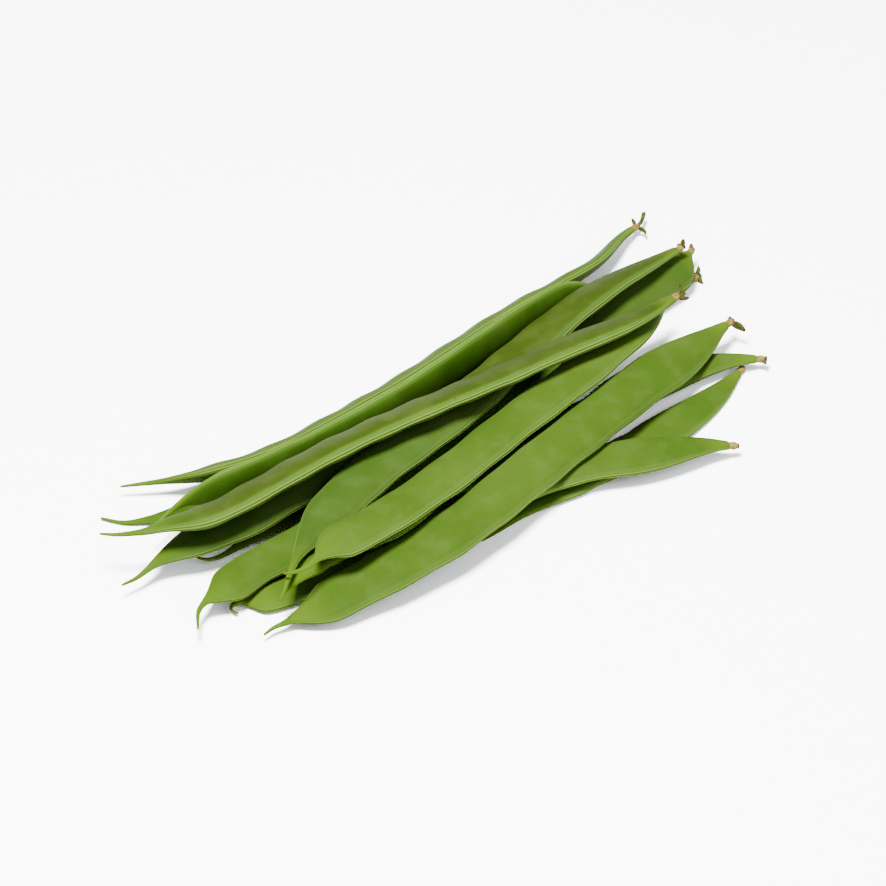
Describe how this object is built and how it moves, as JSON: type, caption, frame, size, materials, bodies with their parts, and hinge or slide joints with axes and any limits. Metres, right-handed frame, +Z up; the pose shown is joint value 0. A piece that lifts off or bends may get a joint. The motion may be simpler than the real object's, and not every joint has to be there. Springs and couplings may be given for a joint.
{
  "type": "flat green bean bundle",
  "caption": "Loose bunch of fresh flat green bean pods lying side by side and across each other, with thin curved beaks at one end and dry calyx stubs at the other.",
  "frame": {"origin": "middle of the bunch's footprint, on the surface it lies on", "axes": "+X along the bunch from the beaks to the stalk ends, +Z up from the surface"},
  "size_m": [0.2712, 0.1226, 0.0335],
  "materials": {
    "pod": "fresh green pod skin, satin with a faint bloom",
    "calyx": "dry tan collar and calyx scraps, matte"
  },
  "bodies": {
    "root": {"pod_left_tip": "pod", "pod_floor": "pod", "pod_rear": "pod", "pod_rear_inner": "pod", "pod_front_low": "pod", "pod_back_under": "pod", "pod_gap": "pod", "pod_back_broad": "pod", "pod_left_under": "pod", "pod_hooked": "pod", "pod_front": "pod", "pod_tucked": "pod", "pod_crossing": "pod", "pod_middle": "pod", "pod_top": "pod", "stalk_left_tip": "calyx", "stalk_floor": "calyx", "stalk_rear": "calyx", "stalk_rear_inner": "calyx", "stalk_front_low": "calyx", "stalk_back_under": "calyx", "stalk_gap": "calyx", "stalk_back_broad": "calyx", "stalk_left_under": "calyx", "stalk_hooked": "calyx", "stalk_front": "calyx", "stalk_tucked": "calyx", "stalk_crossing": "calyx", "stalk_middle": "calyx", "stalk_top": "calyx"}
  },
  "joints": []
}
